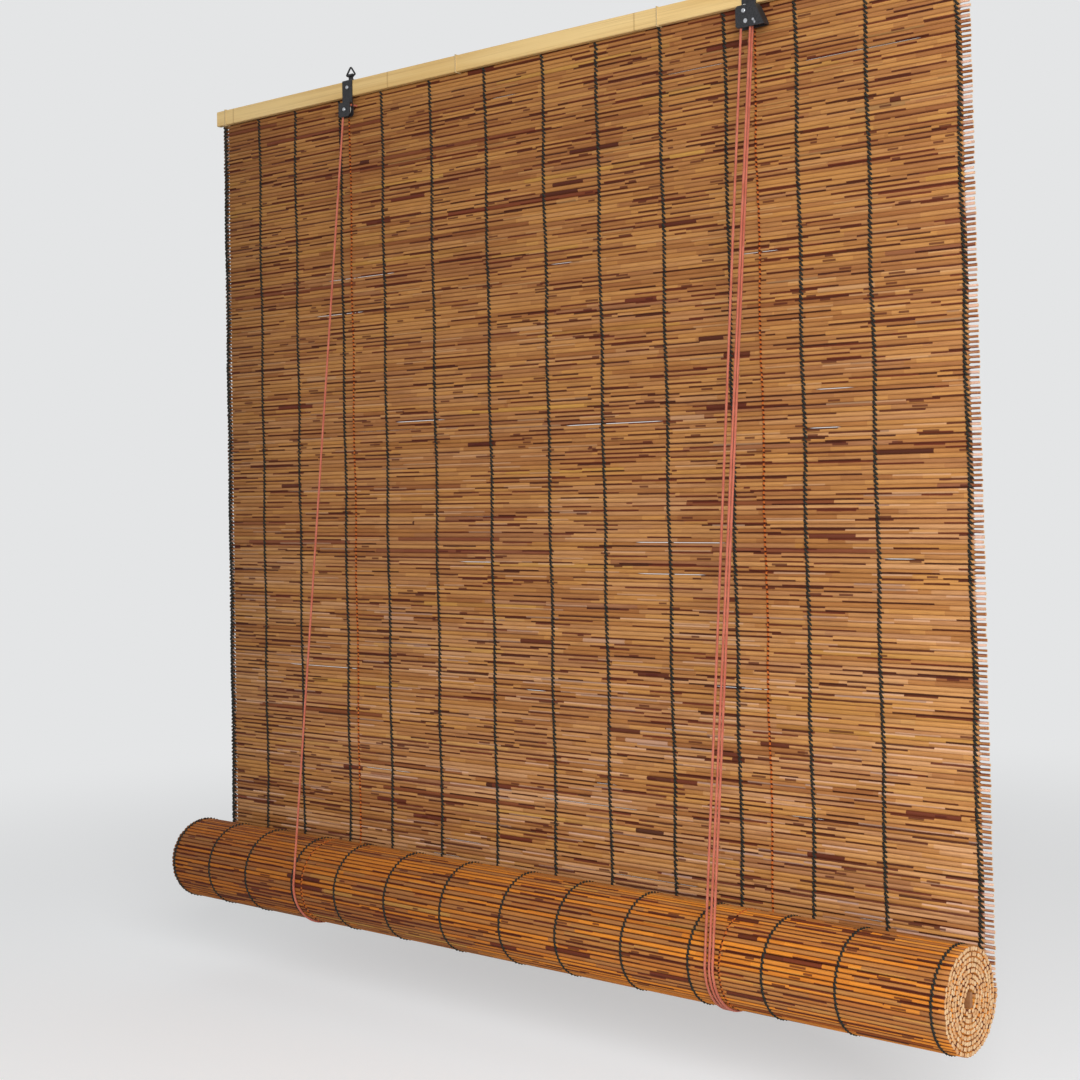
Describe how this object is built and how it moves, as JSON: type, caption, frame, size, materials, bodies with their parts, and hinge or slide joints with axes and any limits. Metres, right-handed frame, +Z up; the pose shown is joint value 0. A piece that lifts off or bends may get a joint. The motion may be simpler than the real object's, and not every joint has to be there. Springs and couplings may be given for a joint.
{
  "type": "bamboo roller shade",
  "caption": "Bamboo reed roller shade, half rolled up, with a split head rail, wire hanging rings, cord pulleys, a cord lock and pink lifting cords.",
  "frame": {"origin": "middle of the line through the two wall hooks where they bear inside the hanger rings", "axes": "+X along the head rail to the cord lock's end, -Y into the room, +Z up"},
  "size_m": [1.206, 0.1285, 1.1435],
  "materials": {
    "rail_bamboo": "split bamboo batten, sealed, satin",
    "reed": "carbonised split reed, matt",
    "thread": "dark cotton warp, matt",
    "marker_thread": "red-brown cotton, matt",
    "tie": "undyed cotton, matt",
    "black_steel": "black enamel, satin",
    "bright_steel": "nickel plated, semi-bright",
    "wheel_nylon": "pale nylon, satin",
    "cord": "braided cotton cord, dusty pink"
  },
  "bodies": {
    "head": {"head_rail_front": "rail_bamboo", "head_rail_back": "rail_bamboo", "rail_ties": "tie", "reed_mat": "reed", "warp_threads_front": "thread", "warp_threads_back": "thread", "marker_threads": "marker_thread", "left_hanger_strap": "black_steel", "right_hanger_strap": "black_steel", "left_pulley_cheek": "black_steel", "cord_lock_housing": "black_steel", "strap_rivets": "bright_steel", "pulley_axles": "bright_steel", "cord_lock_anvil": "bright_steel", "left_lift_front_run": "cord", "right_lift_front_run": "cord", "front_pull_cord": "cord", "rear_pull_cord": "cord", "left_lift_back_run": "cord", "right_lift_back_run": "cord", "lift_cord_tied_ends": "cord", "lift_cords_over_wheels": "cord"},
    "left_ring": {"left_hanger_ring": "black_steel"},
    "right_ring": {"right_hanger_ring": "black_steel"},
    "left_wheel": {"left_pulley_wheel": "wheel_nylon"},
    "front_wheel": {"lock_front_wheel": "wheel_nylon"},
    "rear_wheel": {"lock_rear_wheel": "wheel_nylon"},
    "roller": {"cord_lock_roller": "bright_steel"},
    "slings": {"lift_cord_slings": "cord"},
    "roll": {"reed_roll": "reed", "core_slat": "rail_bamboo"},
    "pull_ends": {"pull_cord_knot": "cord"}
  },
  "joints": [
    {"name": "roll_lift", "type": "slide", "parent": "head", "child": "slings", "axis": [0, 0, 1], "range_m": [0, 0.93], "deforming": ["reed_mat", "warp_threads_front", "warp_threads_back", "marker_threads", "left_lift_front_run", "right_lift_front_run", "front_pull_cord", "rear_pull_cord", "left_lift_back_run", "right_lift_back_run"]},
    {"name": "roll_turn", "type": "hinge", "parent": "slings", "child": "roll", "pos_m": [0, -0.0478, -1.0792], "axis": [1, 0, 0], "range_deg": [-900, 10]},
    {"name": "pull_cord_drop", "type": "slide", "parent": "slings", "child": "pull_ends", "axis": [0, 0, -1], "range_m": [0, 2.79]},
    {"name": "left_ring_swing", "type": "hinge", "parent": "head", "child": "left_ring", "pos_m": [-0.32304, 0, -0.0096], "axis": [1, 0, 0], "range_deg": [-85, 85]},
    {"name": "right_ring_swing", "type": "hinge", "parent": "head", "child": "right_ring", "pos_m": [0.33504, 0, -0.0096], "axis": [1, 0, 0], "range_deg": [-85, 85]},
    {"name": "left_wheel_spin", "type": "hinge", "parent": "head", "child": "left_wheel", "pos_m": [-0.32304, -0.0098, -0.0577], "axis": [0, 1, 0], "continuous": true},
    {"name": "front_wheel_spin", "type": "hinge", "parent": "head", "child": "front_wheel", "pos_m": [0.33504, -0.0143, -0.0489], "axis": [0, 1, 0], "continuous": true},
    {"name": "rear_wheel_spin", "type": "hinge", "parent": "head", "child": "rear_wheel", "pos_m": [0.33504, -0.0098, -0.0489], "axis": [0, 1, 0], "continuous": true},
    {"name": "lock_release", "type": "slide", "parent": "head", "child": "roller", "axis": [0.4327, 0, -0.9015], "range_m": [0, 0.0035]}
  ],
  "couplings": [
    {"joint": "roll_turn", "follows": "roll_lift", "rad_per_m": -16.556},
    {"joint": "pull_cord_drop", "follows": "roll_lift", "ratio": 3},
    {"joint": "left_wheel_spin", "follows": "roll_lift", "rad_per_m": 322.58},
    {"joint": "front_wheel_spin", "follows": "roll_lift", "rad_per_m": 322.58},
    {"joint": "rear_wheel_spin", "follows": "roll_lift", "rad_per_m": 322.58}
  ]
}
